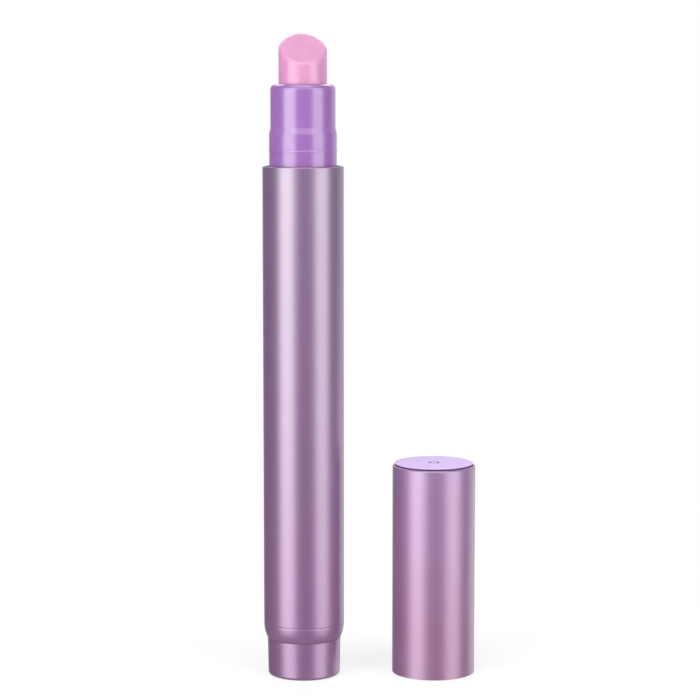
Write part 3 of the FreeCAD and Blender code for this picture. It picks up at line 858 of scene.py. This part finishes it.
def add_softbox(name, place, target, width, height, level):
    """A rectangular lamp that faces the target; level is its brightness, where 1 is white."""
    lamp = bpy.data.lights.new(name, "AREA")
    lamp.shape = "RECTANGLE"
    lamp.size = width
    lamp.size_y = height
    lamp.energy = level * math.pi * width * height
    softbox = bpy.data.objects.new(name, lamp)
    softbox.location = place
    softbox.rotation_euler = (target - place).to_track_quat("-Z", "Y").to_euler()
    softbox.visible_camera = False
    bpy.context.scene.collection.objects.link(softbox)


class OILPEN_OT_set_stage(bpy.types.Operator):
    """Sets up the floor, the white backdrop, the softboxes and the camera"""

    bl_idname = "oilpen.set_stage"
    bl_label = "Studio"

    def execute(self, context):
        setup = context.scene.oilpen_studio
        self.add_floor(context)
        self.light_world(context, setup)
        self.add_lamps(setup)
        self.add_camera(context, setup)
        context.scene.view_settings.view_transform = "Standard"
        return {"FINISHED"}

    def add_floor(self, context):
        """A round white floor that keeps the object's shadow, made fainter."""
        reach = 3.0
        drop = 0.02 * MM
        disc = bmesh.new()
        bmesh.ops.create_circle(disc, cap_ends=True, segments=96, radius=reach)
        data = bpy.data.meshes.new("floor")
        disc.to_mesh(data)
        disc.free()
        floor = bpy.data.objects.new("floor", data)
        floor.location.z = -drop
        context.scene.collection.objects.link(floor)
        # The sheet stays out of the metal's reflections and lets the low lamps' light through, so that
        # the metal's bright bands run down to its foot.
        floor.visible_glossy = False
        floor.visible_shadow = False
        material, tree, output = new_material("paper_sheet_white")
        path = add_node(tree, "ShaderNodeLightPath")
        seen = add_node(tree, "ShaderNodeMath", {
            0: path.outputs["Is Camera Ray"],
            1: path.outputs["Is Glossy Ray"],
        }, operation="MAXIMUM")
        seen = add_node(tree, "ShaderNodeMath", {
            0: seen.outputs["Value"],
            1: path.outputs["Is Transmission Ray"],
        }, operation="MAXIMUM")
        # Near the object the sheet keeps its shadow, made fainter; further out it is plain white.
        place = add_node(tree, "ShaderNodeTexCoord")
        away = add_node(tree, "ShaderNodeVectorMath", {0: place.outputs["Object"]}, operation="LENGTH")
        plain = add_node(tree, "ShaderNodeMapRange", {
            "Value": away.outputs["Value"],
            "From Min": 0.03,
            "From Max": 0.11,
            "To Min": 0.68,
            "To Max": 1.0,
        })
        white = add_node(tree, "ShaderNodeMath", {
            0: seen.outputs["Value"],
            1: plain.outputs["Result"],
        }, operation="MULTIPLY")
        # The camera sees white paper. In the light thrown back at the object it counts as a greyer sheet.
        paper = add_node(tree, "ShaderNodeMix", {
            "Factor": path.outputs["Is Camera Ray"],
            6: opaque(linear("#B4B4B4")),
            7: opaque(linear("#EFEFEF")),
        }, data_type="RGBA")
        sheet = add_node(tree, "ShaderNodeBsdfDiffuse", {"Color": paper.outputs[2]})
        glow = add_node(tree, "ShaderNodeEmission", {"Strength": 1.0})
        both = add_node(tree, "ShaderNodeMixShader", {
            0: white.outputs["Value"],
            1: sheet.outputs["BSDF"],
            2: glow.outputs["Emission"],
        })
        tree.links.new(both.outputs["Shader"], output.inputs["Surface"])
        data.materials.append(material)

    def light_world(self, context, setup):
        """White behind the object, with an even, dimmer light in the room."""
        world = bpy.data.worlds.new("white_studio")
        context.scene.world = world
        world.use_nodes = True
        tree = world.node_tree
        tree.nodes.clear()
        path = add_node(tree, "ShaderNodeLightPath")
        place = add_node(tree, "ShaderNodeTexCoord")
        axes = add_node(tree, "ShaderNodeSeparateXYZ", {"Vector": place.outputs["Generated"]})
        # Reflections show the white backdrop behind the object, a dimmer room in front of it and the
        # pale sheet steeply below.
        depth = add_node(tree, "ShaderNodeMapRange", {
            "Value": axes.outputs["Y"],
            "From Min": 0.85,
            "From Max": 1.0,
            "To Min": 0.2,
            "To Max": 1.0,
        })
        shade = add_node(tree, "ShaderNodeMapRange", {
            "Value": axes.outputs["Z"],
            "From Min": -0.65,
            "From Max": -0.4,
            "To Min": 2.6,
            "To Max": 1.0,
        })
        around = add_node(tree, "ShaderNodeMath", {
            0: depth.outputs["Result"],
            1: shade.outputs["Result"],
        }, operation="MULTIPLY")
        mirrored = add_node(tree, "ShaderNodeMath", {
            0: path.outputs["Is Glossy Ray"],
            1: path.outputs["Is Transmission Ray"],
        }, operation="MAXIMUM")
        level = add_node(tree, "ShaderNodeMix", {
            "Factor": mirrored.outputs["Value"],
            "A": setup.room_level,
            "B": around.outputs["Value"],
        })
        seen = add_node(tree, "ShaderNodeMath", {
            0: level.outputs["Result"],
            1: path.outputs["Is Camera Ray"],
        }, operation="MAXIMUM")
        sky = add_node(tree, "ShaderNodeBackground", {
            "Color": opaque((1.0, 1.0, 1.0)),
            "Strength": seen.outputs["Value"],
        })
        add_node(tree, "ShaderNodeOutputWorld", {
            "Surface": sky.outputs["Background"],
        }, is_active_output=True)

    def add_lamps(self, setup):
        """Tall lamps round the object, low ones under them, and softboxes above it."""
        distance = 0.5
        # Height of a lamp's middle, and the lamp's own height. The low lamps hang below the floor, and
        # carry the metal's bands down to its foot.
        tall = (0.12, 0.54)
        low = (-0.25, 0.2)
        low_card = (-0.14, 0.2)
        # Brightness of the low lamps against the tall ones above them
        key_low, fill_low, rim_low = 0.33, 0.45, 1.6
        # Name, bearing from the front in degrees, width, heights and level
        around = (
            ("key_softbox", -47.0, 0.4, tall, setup.key_level),
            ("key_bounce", -47.0, 0.4, low, setup.key_level * key_low),
            ("fill_softbox", 55.0, 0.37, tall, setup.fill_level),
            ("fill_bounce", 55.0, 0.37, low, setup.fill_level * fill_low),
            ("rim_card", 135.0, 0.35, tall, setup.rim_level),
            ("rim_bounce", 128.0, 0.35, low_card, setup.rim_level * rim_low),
        )
        for name, bearing, width, (middle, height), level in around:
            angle = math.radians(bearing)
            place = Vector((distance * math.sin(angle), -distance * math.cos(angle), middle))
            add_softbox(name, place, Vector((0.0, 0.0, middle)), width, height, level)
        # Name, place, width, depth and level
        above = (
            ("top_softbox", (0.0, -0.6, 0.42), 1.0, 0.3, setup.top_level),
            ("overhead_softbox", (0.0, -0.12, 0.62), 0.5, 0.35, setup.overhead_level),
            ("back_softbox", (0.0, 0.5, 0.5), 0.6, 0.3, setup.back_level),
        )
        target = Vector((0.0, 0.0, 0.05))
        for name, place, width, depth, level in above:
            add_softbox(name, Vector(place), target, width, depth, level)

    def add_camera(self, context, setup):
        """The camera at the height and distance of the reference view."""
        data = bpy.data.cameras.new("camera")
        data.sensor_width = SENSOR_WIDTH
        data.lens = setup.camera_lens
        data.clip_start = 0.01
        camera = bpy.data.objects.new("camera", data)
        camera.location = (setup.camera_side, -setup.camera_distance, setup.camera_height)
        camera.rotation_euler = (math.pi / 2 - setup.camera_tilt, 0.0, 0.0)
        context.scene.collection.objects.link(camera)
        context.scene.camera = camera


OPERATORS = (
    OILPEN_OT_finish_aluminium,
    OILPEN_OT_finish_neck,
    OILPEN_OT_finish_cap_liner,
    OILPEN_OT_make_nib,
    OILPEN_OT_finish_inner_pieces,
    OILPEN_OT_finish_click_rings,
    OILPEN_OT_finish_seals,
    OILPEN_OT_set_stage,
)


class OILPEN_PT_sidebar(bpy.types.Panel):
    """Lists the pen's pieces and their settings"""

    bl_idname = "OILPEN_PT_sidebar"
    bl_label = "Oil Pen"
    bl_space_type = "VIEW_3D"
    bl_region_type = "UI"
    bl_category = "Oil Pen"

    def draw(self, context):
        for operator in OPERATORS:
            self.layout.operator(operator.bl_idname)
        scene = context.scene
        for group in (scene.oilpen_finishes, scene.oilpen_bead, scene.oilpen_nib, scene.oilpen_studio):
            box = self.layout.box()
            for name in group.__annotations__:
                box.prop(group, name)


CLASSES = (PenFinishes, NibShape, NeckBead, StudioSetup, *OPERATORS, OILPEN_PT_sidebar)


def register():
    for kind in CLASSES:
        bpy.utils.register_class(kind)
    bpy.types.Scene.oilpen_finishes = PointerProperty(type=PenFinishes)
    bpy.types.Scene.oilpen_nib = PointerProperty(type=NibShape)
    bpy.types.Scene.oilpen_bead = PointerProperty(type=NeckBead)
    bpy.types.Scene.oilpen_studio = PointerProperty(type=StudioSetup)


def unregister():
    del bpy.types.Scene.oilpen_studio
    del bpy.types.Scene.oilpen_bead
    del bpy.types.Scene.oilpen_nib
    del bpy.types.Scene.oilpen_finishes
    for kind in reversed(CLASSES):
        bpy.utils.unregister_class(kind)


def main():
    register()
    bpy.ops.oilpen.finish_aluminium()
    bpy.ops.oilpen.finish_neck()
    bpy.ops.oilpen.finish_cap_liner()
    bpy.ops.oilpen.make_nib()
    bpy.ops.oilpen.finish_inner_pieces()
    bpy.ops.oilpen.finish_click_rings()
    bpy.ops.oilpen.finish_seals()
    bpy.ops.oilpen.set_stage()


if __name__ == "__main__":
    main()
